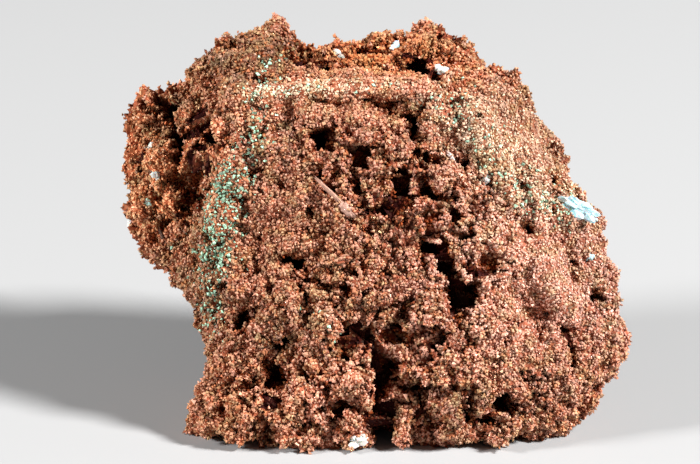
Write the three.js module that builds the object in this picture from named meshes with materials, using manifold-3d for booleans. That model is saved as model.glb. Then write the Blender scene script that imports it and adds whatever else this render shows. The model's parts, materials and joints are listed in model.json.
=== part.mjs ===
// Native copper nugget: one crystalline mass of copper that leans back on a worn foot, with a
// broad front face, a brow that runs round it, deep pits, and a few mineral grains held in it.
//
// Millimetres. +X is the nugget's length, +Y its back, +Z up. The origin is at the bottom
// centre of the bounding box. The outline is drawn on the lean plane: across is +X, up runs
// up the lean, and out points out of the front face.

import * as THREE from 'three';
import { mergeVertices } from 'three/addons/utils/BufferGeometryUtils.js';
import { ImprovedNoise } from 'three/addons/math/ImprovedNoise.js';
import Module from 'manifold-3d';

const wasm = await Module();
wasm.setup();

// ---- driving dimensions ----------------------------------------------------------------

const LEAN_DEGREES = 20;      // how far the front face leans back from upright
const HEART = [0, 17];        // across, up: the point that the outline turns around
const TOE_OUT = 6;            // out of the foot's front edge, where the nugget meets the floor
const FOOT_TRIM = 0.5;        // how much of the underside is worn flat

const SPOKES = 120;           // steps round the outline of the plain form
const STATIONS = 20;          // steps from the back to the front along each spoke
const SKIN_DETAIL = 15;       // how finely the skin over the plain form is divided
const SKIN_SHAPE = [21, 11, 17];  // proportions of the ball that the skin is shrunk from

// Broad lumps, and smaller knobs on them: spacing, height, how much of the height lies
// outside the plain form, and a shift that keeps the two patterns apart.
const LUMPS = { spacing: 5.2, height: 0.9, outside: 0.4, shift: 0 };
const KNOBS = { spacing: 3.1, height: 0.5, outside: 0.5, shift: 50 };

const SEAT_GAP = 0.25;        // clearance between a mineral grain and its socket
const GRAIN_STANDS_OUT = 0.1; // share of its thickness that a grain's middle stands out
const GRAIN_WOBBLE = 0.22;    // how far a grain's corners stray from an even crystal
const WOBBLE_BEAT = [7.3, 2.1];   // how fast that changes from corner to corner, grain to grain
const FACET_INRADIUS = 0.79;  // an icosahedron's inner radius for an outer radius of 1
const WELL_CLEAR = 60;        // farther out than any part of the nugget
const DRAW_IN = 0.02;         // step towards the heart for a place past the outline

// The widest outline, from the right side round over the top. Each point is
// [across, up, out]: out is positive towards the front.
const RIM = [
  [18.4, 17.4, -1.5], [18.4, 19.3, -2], [16.4, 22.1, -3], [15.4, 24.6, -4], [13.6, 27.0, -4.5],
  [11.9, 29.2, -5], [11.4, 30.8, -6], [9.4, 31.2, -5], [7.7, 32.5, -4.5], [6.2, 34.3, -4],
  [4.5, 34.9, -4], [2.6, 33.2, -4], [-0.5, 34.1, -3.5], [-3.4, 33.2, -3.5], [-5.5, 33.1, -4],
  [-6.5, 34.2, -5], [-7.5, 35.2, -5], [-9.6, 34.5, -4.5], [-13.6, 33.0, -4.5], [-14.8, 31.0, -4],
  [-15.6, 29.8, -4], [-17.8, 30.3, -5], [-19.4, 28.9, -5.5], [-20.5, 25.7, -6], [-20.8, 23.9, -6],
  [-20.4, 21.0, -6], [-20.8, 18.5, -6], [-18.3, 17.0, -5], [-18.0, 15.4, -4], [-15.7, 13.2, -2],
  [-14.2, 10.7, 0], [-12.9, 8.6, 1], [-13.0, 6.6, 2], [-14.3, 3.2, 3], [-13.7, 1.8, 4],
  [-11.0, 1.4, 5], [-8.4, 0.2, 6], [-4.8, 0.4, 6], [-1.2, 0.0, 6], [0.1, 0.6, 6],
  [1.0, 2.6, 5.5], [2.2, 0.7, 6], [5.9, 0.6, 6], [8.0, 1.2, 6], [10.5, 0.4, 5.5],
  [12.4, 1.8, 5], [14.9, 1.9, 4.5], [17.6, 3.9, 3], [18.8, 6.1, 1.5], [20.9, 9.6, 0],
  [20.0, 12.8, -0.5], [19.5, 15.0, -1],
];

// The brow: the edge where the front face turns over into the slopes around it.
const BROW = [
  [15.8, 17.0, 4], [14.6, 20.0, 4], [11.6, 21.8, 4.5], [9.8, 25.2, 5], [7.6, 27.8, 5.5],
  [2.2, 29.4, 6], [-4.2, 29.1, 6.2], [-10.0, 28.6, 5.5], [-10.4, 25.4, 5.5], [-11.2, 20.6, 5],
  [-11.6, 15.6, 5], [-11.4, 10.8, 5.5], [-11.4, 4.6, 6.5], [-8.0, 2.4, 7.5], [0.6, 3.6, 7.5],
  [9.4, 3.0, 7.5], [15.8, 6.4, 5.5], [17.6, 11.6, 4.2],
];

// The back, as a plainer and smaller ring.
const BACK = [
  [13.0, 17, -6.8], [10.6, 25.2, -7.8], [0, 28.5, -8.6], [-11.8, 27, -8.8], [-15, 20, -8.8],
  [-10.6, 9, -7.6], [-7.0, 5.6, -7.4], [3.5, 5.2, -7.6], [12.0, 6.0, -7.0], [14.4, 10.6, -6.6],
];

const FACE_OUT = 8.8;         // the middle of the front face
const BACK_OUT = -9.8;        // the middle of the back

// Deep pits and slots in the front and the slopes: [across, up, half width, half height,
// depth, turn in degrees].
const PITS = [
  [0.8, 7.8, 0.75, 2.3, 6.5, 4],       // the deep slot in the lower middle
  [0.9, 2.3, 0.6, 1.9, 5, -4],         // the cleft in the toe below it
  [2.4, 17.0, 1.4, 1.0, 5, -15],
  [2.0, 13.7, 1.0, 1.3, 4.5, 20],
  [6.1, 13.4, 0.75, 2.1, 4.5, 12],
  [-6.6, 15.7, 1.25, 0.9, 4, 10],
  [-2.2, 13.2, 0.85, 1.2, 3.5, -20],
  [-4.0, 25.0, 0.8, 0.6, 3.5, 0],
  [-4.1, 22.6, 0.5, 0.8, 3, 0],
  [2.6, 26.0, 0.55, 1.2, 3.5, 10],
  [2.4, 23.5, 0.6, 1.2, 3.5, -12],
  [3.0, 21.0, 0.7, 1.1, 4, 8],
  [4.9, 21.1, 1.1, 0.55, 3, 15],
  [0.0, 19.7, 1.8, 0.6, 3, -8],
  [12.4, 18.0, 0.6, 0.6, 2.6, 0],
  [7.6, 9.0, 0.6, 0.6, 2.6, 0],
  [15.8, 8.6, 0.5, 1.1, 2.6, 12],
  [7.8, 2.9, 2.0, 0.6, 3, 4],
  [-2.6, 3.9, 0.8, 1.3, 3.4, -10],
  [-8.0, 6.8, 0.95, 1.1, 3.2, 25],
  [-15.6, 24.8, 1.0, 1.6, 5, -15],     // the hollow in the left shoulder
  [-12.4, 25.4, 0.6, 0.8, 3.5, 0],
  [-17.2, 21.0, 0.6, 1.1, 3, 20],
  [3.6, 31.3, 0.5, 1.1, 3.6, 6],       // the cleft in the crown
  [-4.0, 30.9, 0.5, 0.5, 2.6, 0],
  [-9.6, 31.6, 0.8, 0.5, 3, 15],
];

// Pits in the back, spread by a sunflower spiral: their scales are taken in turn, and each is
// turned some degrees past the one before.
const BACK_PITS = {
  count: 9, spacing: 3.6, squash: 0.8, rise: 1, size: [0.9, 1.2, 3.6], scales: [0.7, 0.95, 1.2],
  turn: 40,
};

// Mineral grains: name, [across, up], [length, width, thickness], turn in degrees, colour.
const WHITE = 0xe9e8e2;
const BLUE_WHITE = 0xd3e6ee;
const PALE_GREEN = 0xb9d8c6;
const GRAINS = [
  ['grain_right_shoulder', [16.6, 19.6], [3.4, 1.7, 1.3], -22, BLUE_WHITE],
  ['grain_left_shoulder_upper', [-17.9, 24.8], [1.0, 0.9, 0.8], 10, WHITE],
  ['grain_left_shoulder_lower', [-17.4, 22.5], [1.3, 1.1, 0.9], 50, WHITE],
  ['grain_left_flank', [-18.2, 20.3], [1.0, 0.8, 0.7], 0, PALE_GREEN],
  ['grain_left_edge', [-20.0, 18.9], [1.5, 0.8, 0.8], 75, WHITE],
  ['grain_crown_edge', [2.2, 32.4], [1.4, 0.9, 0.8], 70, BLUE_WHITE],
  ['grain_crown_left', [-2.8, 32.2], [0.9, 0.7, 0.7], 0, WHITE],
  ['grain_crown_right', [5.6, 30.8], [1.0, 0.8, 0.8], 30, WHITE],
  ['grain_brow', [8.9, 22.0], [1.1, 0.9, 0.8], -15, WHITE],
  ['grain_right_flank', [17.4, 15.9], [1.1, 0.7, 0.7], 10, BLUE_WHITE],
  ['grain_foot', [-1.0, 1.3], [1.3, 1.1, 0.9], 40, WHITE],
];

// ---- the lean plane --------------------------------------------------------------------

const LEAN = THREE.MathUtils.degToRad(LEAN_DEGREES);
const UP_LEAN = new THREE.Vector3(0, Math.sin(LEAN), Math.cos(LEAN));
const OUT_LEAN = new THREE.Vector3(0, -Math.cos(LEAN), Math.sin(LEAN));
const ACROSS = new THREE.Vector3(1, 0, 0);

/** A point of the lean plane in the nugget's own frame, with the toe at height 0. */
function onLean(across, up, out) {
  return new THREE.Vector3()
    .addScaledVector(ACROSS, across)
    .addScaledVector(UP_LEAN, up)
    .addScaledVector(OUT_LEAN, out - TOE_OUT);
}

/** A ring given as points, as a function of the angle round the heart. */
function ringAt(points) {
  const polar = points
    .map(([across, up, out]) => ({
      angle: Math.atan2(up - HEART[1], across - HEART[0]),
      radius: Math.hypot(across - HEART[0], up - HEART[1]),
      out,
    }))
    .sort((a, b) => a.angle - b.angle);
  return (angle) => {
    const after = polar.findIndex((p) => p.angle > angle);
    const high = polar[after < 0 ? 0 : after];
    const low = polar[(after < 0 ? polar.length : after || polar.length) - 1];
    const turn = 2 * Math.PI;
    const span = (high.angle - low.angle + turn) % turn || turn;
    const share = ((angle - low.angle + turn) % turn) / span;
    return {
      radius: THREE.MathUtils.lerp(low.radius, high.radius, share),
      out: THREE.MathUtils.lerp(low.out, high.out, share),
    };
  };
}

// ---- the copper mass -------------------------------------------------------------------

const noise = new ImprovedNoise();
const CREASE = 4;             // how sharply the lumps fall to their creases

/** How far a pattern of rounded lumps, with creases between them, pushes a point out. */
function lumpPush(point, { spacing, height, outside, shift }) {
  const value = noise.noise(point.x / spacing + shift, point.y / spacing, point.z / spacing);
  return height * (outside - CREASE * Math.abs(value));
}

/** The plain form: a closed surface through the back, the rim, the brow and the face. */
function formGeometry() {
  const rim = ringAt(RIM);
  const brow = ringAt(BROW);
  const back = ringAt(BACK);
  const points = [];
  for (let spoke = 0; spoke < SPOKES; spoke++) {
    const angle = -Math.PI + (2 * Math.PI * (spoke + 0.5)) / SPOKES;
    const place = ({ radius, out }) => new THREE.Vector3(
      HEART[0] + radius * Math.cos(angle),
      HEART[1] + radius * Math.sin(angle),
      out,
    );
    const profile = new THREE.CatmullRomCurve3([
      new THREE.Vector3(...HEART, BACK_OUT),
      place(back(angle)),
      place(rim(angle)),
      place(brow(angle)),
      new THREE.Vector3(...HEART, FACE_OUT),
    ], false, 'centripetal');
    points.push(...profile.getSpacedPoints(STATIONS));
  }
  const faces = [];
  const row = STATIONS + 1;
  for (let spoke = 0; spoke < SPOKES; spoke++) {
    const here = spoke * row;
    const next = ((spoke + 1) % SPOKES) * row;
    for (let station = 0; station < STATIONS; station++) {
      faces.push(here + station, next + station, next + station + 1);
      faces.push(here + station, next + station + 1, here + station + 1);
    }
  }
  const geometry = new THREE.BufferGeometry();
  geometry.setFromPoints(points.map((p) => onLean(p.x, p.y, p.z)));
  geometry.setIndex(faces);
  return geometry;
}

/** An even skin: a ball shrunk onto the plain form along lines from the nugget's middle. */
function skinGeometry() {
  const form = bothSided(formGeometry());
  const middle = onLean(...HEART, 0);
  const skin = mergeVertices(bare(new THREE.IcosahedronGeometry(1, SKIN_DETAIL)));
  skin.scale(...SKIN_SHAPE);
  skin.rotateX(-LEAN);
  const { position } = skin.attributes;
  const caster = new THREE.Raycaster();
  const way = new THREE.Vector3();
  for (let i = 0; i < position.count; i++) {
    way.fromBufferAttribute(position, i).normalize();
    caster.set(middle, way);
    const hits = caster.intersectObject(form);
    const { point } = hits[hits.length - 1];
    position.setXYZ(i, point.x, point.y, point.z);
  }
  return skin;
}

/** Push every vertex along its normal by the broad lumps and the knobs. */
function roughen(geometry) {
  geometry.computeVertexNormals();
  const { position, normal } = geometry.attributes;
  const point = new THREE.Vector3();
  const along = new THREE.Vector3();
  for (let i = 0; i < position.count; i++) {
    point.fromBufferAttribute(position, i);
    along.fromBufferAttribute(normal, i);
    point.addScaledVector(along, lumpPush(point, LUMPS) + lumpPush(point, KNOBS));
    position.setXYZ(i, point.x, point.y, point.z);
  }
  geometry.deleteAttribute('normal');
  return geometry;
}

// ---- solids ----------------------------------------------------------------------------

/** The same shape with nothing but its positions, so that shared corners can be merged. */
function bare(geometry) {
  const copy = geometry.clone();
  copy.deleteAttribute('normal');
  copy.deleteAttribute('uv');
  return copy;
}

/** A mesh that a line meets from either side, for finding places on a surface. */
function bothSided(geometry) {
  const mesh = new THREE.Mesh(geometry, new THREE.MeshBasicMaterial({ side: THREE.DoubleSide }));
  mesh.updateMatrixWorld();
  return mesh;
}

function toSolid(geometry) {
  const merged = mergeVertices(bare(geometry));
  return new wasm.Manifold(new wasm.Mesh({
    numProp: 3,
    vertProperties: new Float32Array(merged.attributes.position.array),
    triVerts: new Uint32Array(merged.index.array),
  }));
}

function toGeometry(solid) {
  const mesh = solid.getMesh();
  const geometry = new THREE.BufferGeometry();
  geometry.setAttribute('position', new THREE.BufferAttribute(mesh.vertProperties, 3));
  geometry.setIndex(new THREE.BufferAttribute(mesh.triVerts, 1));
  return geometry;
}

/**
 * Where a line square to the lean plane first meets the nugget. A place just past the outline
 * is drawn in towards the heart until its line does.
 */
function surfaceHit(mesh, across, up, fromFront) {
  const way = OUT_LEAN.clone().multiplyScalar(fromFront ? -1 : 1);
  const caster = new THREE.Raycaster();
  for (let share = 1; share > 0; share -= DRAW_IN) {
    const start = onLean(
      THREE.MathUtils.lerp(HEART[0], across, share),
      THREE.MathUtils.lerp(HEART[1], up, share),
      fromFront ? WELL_CLEAR : -WELL_CLEAR,
    );
    caster.set(start, way);
    const hits = caster.intersectObject(mesh);
    if (hits.length > 0) {
      return hits[0];
    }
  }
  throw new Error(`nothing to seat at ${across}, ${up}`);
}

/** A pit: a blunt ellipsoid sunk to its depth, square to the lean plane. */
function pitGeometry(at, [halfWidth, halfHeight, depth], turnDegrees) {
  const pit = new THREE.IcosahedronGeometry(1, 1);
  pit.scale(halfWidth, halfHeight, depth);
  pit.rotateZ(THREE.MathUtils.degToRad(turnDegrees));
  pit.applyMatrix4(new THREE.Matrix4().makeBasis(ACROSS, UP_LEAN, OUT_LEAN));
  pit.translate(at.x, at.y, at.z);
  return pit;
}

/** A mineral grain: a blocky crystal with blunt ends, its length along X. */
function grainGeometry([length, width, thickness], number) {
  const grain = mergeVertices(bare(new THREE.IcosahedronGeometry(1, 0)));
  const { position } = grain.attributes;
  for (let i = 0; i < position.count; i++) {
    const beat = WOBBLE_BEAT[0] * i + WOBBLE_BEAT[1] * number;
    const wobble = 1 + GRAIN_WOBBLE * Math.sin(beat);
    position.setXYZ(i, position.getX(i) * wobble, position.getY(i) * wobble,
      position.getZ(i) * wobble);
  }
  grain.scale(length / 2, width / 2, thickness / 2);
  return grain;
}

// ---- the assembly ----------------------------------------------------------------------

const rough = roughen(skinGeometry());
const surface = bothSided(rough);

let copper = toSolid(rough);
for (const [across, up, halfWidth, halfHeight, depth, turn] of PITS) {
  const { point } = surfaceHit(surface, across, up, true);
  copper = copper.subtract(toSolid(pitGeometry(point, [halfWidth, halfHeight, depth], turn)));
}
const GOLDEN_TURN = Math.PI * (3 - Math.sqrt(5));
for (let i = 0; i < BACK_PITS.count; i++) {
  const radius = BACK_PITS.spacing * Math.sqrt(i + 0.5);
  const across = HEART[0] + radius * Math.cos(i * GOLDEN_TURN);
  const up = HEART[1] + BACK_PITS.rise
    + BACK_PITS.squash * radius * Math.sin(i * GOLDEN_TURN);
  const scale = BACK_PITS.scales[i % BACK_PITS.scales.length];
  const size = BACK_PITS.size.map((extent) => extent * scale);
  const { point } = surfaceHit(surface, across, up, false);
  copper = copper.subtract(toSolid(pitGeometry(point, size, BACK_PITS.turn * i)));
}

const grains = GRAINS.map(([name, [across, up], size, turn, colour], number) => {
  const hit = surfaceHit(surface, across, up, true);
  const outward = hit.face.normal;
  const thickness = new THREE.Vector3(0, 0, 1);
  const spin = new THREE.Quaternion().setFromAxisAngle(
    thickness, THREE.MathUtils.degToRad(turn),
  );
  const pose = new THREE.Quaternion().setFromUnitVectors(thickness, outward).multiply(spin);
  const seat = hit.point.clone().addScaledVector(outward, GRAIN_STANDS_OUT * size[2]);
  const placed = new THREE.Matrix4().compose(seat, pose, new THREE.Vector3(1, 1, 1));
  const socketSize = size.map((extent) => extent + (2 * SEAT_GAP) / FACET_INRADIUS);
  copper = copper.subtract(toSolid(grainGeometry(socketSize, number).applyMatrix4(placed)));
  return { name, colour, geometry: grainGeometry(size, number).applyMatrix4(placed) };
});

// Wear the foot flat, and keep the mass itself, without any crumb that a pit cut loose.
const floorBlock = new THREE.BoxGeometry(2 * WELL_CLEAR, 2 * WELL_CLEAR, WELL_CLEAR)
  .translate(0, 0, FOOT_TRIM - WELL_CLEAR / 2);
copper = copper.subtract(toSolid(floorBlock));
copper = copper.decompose().sort((a, b) => b.volume() - a.volume())[0];
const copperGeometry = toGeometry(copper);

const nugget = new THREE.Group();
nugget.name = 'native_copper_nugget';
const copperMaterial = new THREE.MeshStandardMaterial({
  color: 0xb5653f, roughness: 0.55, metalness: 0.8,
});
const copperMesh = new THREE.Mesh(copperGeometry, copperMaterial);
copperMesh.name = 'copper_nugget';
nugget.add(copperMesh);
for (const { name, colour, geometry } of grains) {
  const grainMaterial = new THREE.MeshStandardMaterial({
    color: colour, roughness: 0.35, metalness: 0,
  });
  const mesh = new THREE.Mesh(geometry, grainMaterial);
  mesh.name = name;
  nugget.add(mesh);
}

// Put the origin at the bottom centre of the bounding box.
const box = new THREE.Box3().setFromObject(nugget);
const centre = box.getCenter(new THREE.Vector3());
nugget.position.set(-centre.x, -centre.y, -box.min.z);
nugget.updateMatrixWorld(true);

export default nugget;
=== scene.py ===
"""Native copper nugget: a pitted copper mass under a crust of small crystals, with mineral grains.

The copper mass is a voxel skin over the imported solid, roughened into clusters and voids. Small
copper crystals are scattered over it by Geometry Nodes and realized as plain mesh. Lengths are in
millimetres where a name or a comment says so, and in metres elsewhere.
"""

import json
import math
import random

import bmesh
import bpy
import numpy as np
from mathutils import Matrix, Vector, noise
from mathutils.bvhtree import BVHTree

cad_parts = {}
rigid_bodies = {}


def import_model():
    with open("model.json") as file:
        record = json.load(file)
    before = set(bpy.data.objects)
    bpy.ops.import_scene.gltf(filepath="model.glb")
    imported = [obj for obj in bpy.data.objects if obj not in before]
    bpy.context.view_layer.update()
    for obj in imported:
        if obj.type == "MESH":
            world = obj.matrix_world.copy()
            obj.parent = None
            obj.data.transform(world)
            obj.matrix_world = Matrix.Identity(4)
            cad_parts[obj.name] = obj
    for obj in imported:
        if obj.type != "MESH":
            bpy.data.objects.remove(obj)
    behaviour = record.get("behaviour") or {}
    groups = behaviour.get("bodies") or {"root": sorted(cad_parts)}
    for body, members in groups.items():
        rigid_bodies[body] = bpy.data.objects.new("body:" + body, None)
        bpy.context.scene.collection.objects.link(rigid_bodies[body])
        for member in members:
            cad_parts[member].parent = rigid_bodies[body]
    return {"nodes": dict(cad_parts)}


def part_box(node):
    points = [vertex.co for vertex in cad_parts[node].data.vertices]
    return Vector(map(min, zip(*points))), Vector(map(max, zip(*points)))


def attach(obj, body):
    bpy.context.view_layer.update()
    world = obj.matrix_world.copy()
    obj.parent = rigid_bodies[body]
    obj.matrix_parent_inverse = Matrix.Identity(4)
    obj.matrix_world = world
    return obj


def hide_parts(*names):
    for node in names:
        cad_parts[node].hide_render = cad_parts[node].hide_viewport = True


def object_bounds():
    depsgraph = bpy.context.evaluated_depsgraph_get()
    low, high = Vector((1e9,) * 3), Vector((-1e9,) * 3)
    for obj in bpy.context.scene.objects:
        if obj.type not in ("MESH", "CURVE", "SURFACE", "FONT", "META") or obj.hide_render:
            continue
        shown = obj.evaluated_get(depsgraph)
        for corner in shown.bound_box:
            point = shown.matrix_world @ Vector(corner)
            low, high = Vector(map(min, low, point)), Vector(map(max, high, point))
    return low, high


bl_info = {
    "name": "Native Copper Nugget",
    "version": (1, 0, 0),
    "blender": (4, 5, 0),
    "location": "3D View > Sidebar > Nugget",
    "description": "Builds a crystalline native copper nugget with mineral grains",
    "category": "Object",
}

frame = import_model()
CAD_BOX = [Vector(corner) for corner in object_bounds()]
MM = 0.001
BODY = "root"
COPPER_NODE = "copper_nugget"
GRAIN_NODES = sorted(name for name in frame["nodes"] if name.startswith("grain_"))

# ---- the lean plane: the nugget's front face leans back from upright ----

LEAN = math.radians(20)
TOE_BACK_MM = 0.65  # how far the toe line lies behind the front of the nugget's box
TOE_OUT_MM = 6.0  # the toe line's place along the way out of the face
FOOT_TRIM_MM = 0.5  # height that was worn off the underside
TOE_LINE = Vector((0, CAD_BOX[0].y / MM + TOE_BACK_MM, -FOOT_TRIM_MM))
UP_LEAN = Vector((0, math.sin(LEAN), math.cos(LEAN)))
OUT_LEAN = Vector((0, -math.cos(LEAN), math.sin(LEAN)))


def on_lean(across, up, out):
    """A place given on the lean plane, in metres in the frame."""
    place = TOE_LINE + Vector((across, 0, 0)) + UP_LEAN * up + OUT_LEAN * (out - TOE_OUT_MM)
    return place * MM


def lean_places(points):
    """Across, up and out, in millimetres, of an array of places in metres."""
    from_toe = points / MM - np.array(TOE_LINE)
    across = from_toe[:, 0]
    up = from_toe @ np.array(UP_LEAN)
    out = from_toe @ np.array(OUT_LEAN) + TOE_OUT_MM
    return across, up, out


# ---- what a user may change ----

def length(name, description, default_mm, least_mm=0.0):
    """A setting that is a length."""
    return bpy.props.FloatProperty(
        name=name, description=description, default=default_mm * MM, min=least_mm * MM,
        unit="LENGTH", precision=5)


def colour(name, description, default):
    """A setting that is a colour."""
    return bpy.props.FloatVectorProperty(
        name=name, description=description, default=default, subtype="COLOR", size=3,
        min=0, max=1)


class CopperSettings(bpy.types.PropertyGroup):
    """The copper mass and its crust of crystals."""

    voxel: length("Skin Spacing", "Spacing of the copper mass's mesh", 0.285, 0.1)
    cluster: length("Cluster Size", "Size of the rounded clusters of crystals", 1.3, 0.2)
    cluster_height: length(
        "Cluster Height", "How far a cluster stands above its creases", 0.9)
    crystal: length("Crystal Size", "Middle size of one copper crystal", 0.25, 0.05)
    front_spacing: length(
        "Front Spacing", "Least spacing of the crystals on the front", 0.17, 0.1)
    back_spacing: length(
        "Back Spacing", "Least spacing of the crystals on the back", 0.31, 0.1)
    copper: colour(
        "Copper", "The plain colour of the clean copper crystals", (0.60, 0.295, 0.21))
    # painted shade: the near black painted deep in the hollows, where little sky is open
    hollow: colour(
        "Hollows", "The colour of the copper deep in the hollows", (0.05, 0.005, 0.002))
    # painted half shade: the red-brown painted in the creases between the black hollows and the lit
    # copper, standing for light bounced between the crystals
    crease_half_shade: colour(
        "Half_Shade", "The colour of the copper in the half light of the creases",
        (0.38, 0.085, 0.022))
    malachite: colour("Malachite", "The colour of the green specks", (0.38, 0.62, 0.47))
    cream: colour("Cream", "The colour of the pale flecks", (0.80, 0.66, 0.48))


class MineralSettings(bpy.types.PropertyGroup):
    """The mineral grains."""

    white: colour("White", "The colour of the white grains", (0.64, 0.64, 0.60))
    blue_white: colour(
        "Blue-white", "The colour of the blue-white grains", (0.34, 0.60, 0.66))
    pale_green: colour(
        "Pale Green", "The colour of the pale green grain", (0.42, 0.66, 0.54))


class StageSettings(bpy.types.PropertyGroup):
    """The floor, the lights and the camera."""

    floor: colour("Floor", "The colour of the floor", (0.36, 0.36, 0.36))
    lens: bpy.props.FloatProperty(
        name="Lens", description="Focal length of the camera in millimetres",
        default=180, min=20)


# ---- small helpers ----

class Wiring:
    """Adds nodes to a tree and links them by the names of their sockets."""

    def __init__(self, tree):
        self.tree = tree

    def add(self, kind, inputs=(), **settings):
        node = self.tree.nodes.new(kind)
        for name, value in settings.items():
            setattr(node, name, value)
        for key, value in dict(inputs).items():
            socket = node.inputs[key]
            if isinstance(value, bpy.types.NodeSocket):
                self.tree.links.new(value, socket)
            else:
                socket.default_value = value
        return node

    def noise(self, place, scale, detail, roughness=0.5, distortion=0.0):
        return self.add("ShaderNodeTexNoise", {
            "Vector": place, "Scale": scale, "Detail": detail, "Roughness": roughness,
            "Distortion": distortion}).outputs["Fac"]

    def spread(self, value, start, end, low=0.0, high=1.0):
        """The value from start to end, spread from low to high."""
        return self.add("ShaderNodeMapRange", {
            "Value": value, "From Min": start, "From Max": end,
            "To Min": low, "To Max": high}).outputs["Result"]

    def maths(self, operation, a, b):
        return self.add("ShaderNodeMath", {0: a, 1: b}, operation=operation).outputs[0]

    def vector(self, operation, a, b):
        return self.add("ShaderNodeVectorMath", {0: a, 1: b}, operation=operation).outputs[0]

    def xyz(self, x, y, z=0.0):
        return self.add("ShaderNodeCombineXYZ", {0: x, 1: y, 2: z}).outputs[0]

    def scaled(self, vector, share):
        return self.add(
            "ShaderNodeVectorMath", {0: vector, 3: share}, operation="SCALE").outputs[0]

    def mixed(self, share, a, b):
        return self.add("ShaderNodeMix", {
            "Factor": share, "A": a, "B": b}, data_type="RGBA").outputs["Result"]

    def named(self, name, kind):
        """A value that the mesh holds by name."""
        return self.add("GeometryNodeInputNamedAttribute", {
            "Name": name}, data_type=kind).outputs["Attribute"]

    def chance(self, seed):
        """A seeded random value from 0 to 1."""
        return self.random("FLOAT", 0.0, 1.0, seed)

    def random(self, kind, low, high, seed):
        """A seeded random value: kind is FLOAT, FLOAT_VECTOR or INT."""
        first = {"FLOAT_VECTOR": 0, "FLOAT": 2, "INT": 4}[kind]
        node = self.add("FunctionNodeRandomValue", {
            first: low, first + 1: high, "Seed": seed}, data_type=kind)
        return node.outputs[{"FLOAT_VECTOR": 0, "FLOAT": 1, "INT": 2}[kind]]


def linked(name, data):
    """A new object in the scene."""
    made = bpy.data.objects.new(name, data)
    bpy.context.scene.collection.objects.link(made)
    return made


def mesh_of(bm, name):
    """A new mesh of what a bmesh holds."""
    mesh = bpy.data.meshes.new(name)
    bm.to_mesh(mesh)
    bm.free()
    return mesh


def new_piece(name, mesh, material):
    """A finished piece of the nugget, at the origin."""
    piece = linked(name, mesh)
    piece.data.materials.clear()
    piece.data.materials.append(material)
    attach(piece, BODY)
    return piece


def baked_mesh(obj):
    """The object's mesh with its modifiers applied."""
    depsgraph = bpy.context.evaluated_depsgraph_get()
    return bpy.data.meshes.new_from_object(
        obj.evaluated_get(depsgraph), preserve_all_data_layers=True, depsgraph=depsgraph)


def remeshed(mesh, voxel):
    """The mesh as an even voxel skin."""
    holder = linked("holder", mesh)
    skin = holder.modifiers.new("skin", "REMESH")
    skin.mode = "VOXEL"
    skin.voxel_size = voxel
    result = baked_mesh(holder)
    bpy.data.objects.remove(holder)
    return result


def largest_shell(mesh):
    """Delete every loose bubble of the mesh but its largest shell."""
    bm = bmesh.new()
    bm.from_mesh(mesh)
    left = set(bm.verts)
    shells = []
    while left:
        front = [left.pop()]
        shell = set(front)
        while front:
            vertex = front.pop()
            for edge in vertex.link_edges:
                other = edge.other_vert(vertex)
                if other in left:
                    left.remove(other)
                    shell.add(other)
                    front.append(other)
        shells.append(shell)
    shells.remove(max(shells, key=len))
    loose = [vertex for shell in shells for vertex in shell]
    bmesh.ops.delete(bm, geom=loose, context="VERTS")
    bm.to_mesh(mesh)
    bm.free()


def places_of(mesh):
    """The places of the mesh's vertices, one in a row."""
    found = np.empty(len(mesh.vertices) * 3)
    mesh.vertices.foreach_get("co", found)
    return found.reshape(-1, 3)


def normals_of(mesh):
    """The normals of the mesh's vertices, one in a row."""
    found = np.empty(len(mesh.vertices) * 3, np.float32)
    mesh.vertex_normals.foreach_get("vector", found)
    return found.reshape(-1, 3).astype(float)


def put_places(mesh, places):
    """Move the mesh's vertices to new places."""
    mesh.vertices.foreach_set("co", places.astype(np.float32).ravel())
    mesh.update()


def put_attribute(mesh, name, kind, domain, values):
    """Store values on the mesh by name."""
    layer = mesh.attributes.new(name, kind, domain)
    key = {"FLOAT_COLOR": "color", "FLOAT_VECTOR": "vector"}.get(kind, "value")
    layer.data.foreach_set(key, values.ravel())


def tree_of(mesh):
    """A tree of the mesh's faces, which rays are cast at."""
    return BVHTree.FromPolygons(
        [v.co for v in mesh.vertices], [tuple(p.vertices) for p in mesh.polygons])


# ---- where things lie on the nugget, in millimetres across and up the lean plane ----

def blob(across, up, centre, reach):
    """1 at the centre, fading to nothing past the reach."""
    gap = ((across - centre[0]) / reach[0]) ** 2 + ((up - centre[1]) / reach[1]) ** 2
    return np.exp(-gap)


def band(across, up, route, width):
    """1 along a route of points, fading to nothing past the width."""
    least = np.full(across.shape, np.inf)
    here = np.stack([across, up], 1)
    for start, end in zip(route, route[1:]):
        start = np.array(start, float)
        along = np.array(end, float) - start
        share = np.clip((here - start) @ along / (along @ along), 0, 1)
        gap = np.linalg.norm(here - start - share[:, None] * along, axis=1)
        least = np.minimum(least, gap)
    return np.exp(-(least / width) ** 2)
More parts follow.
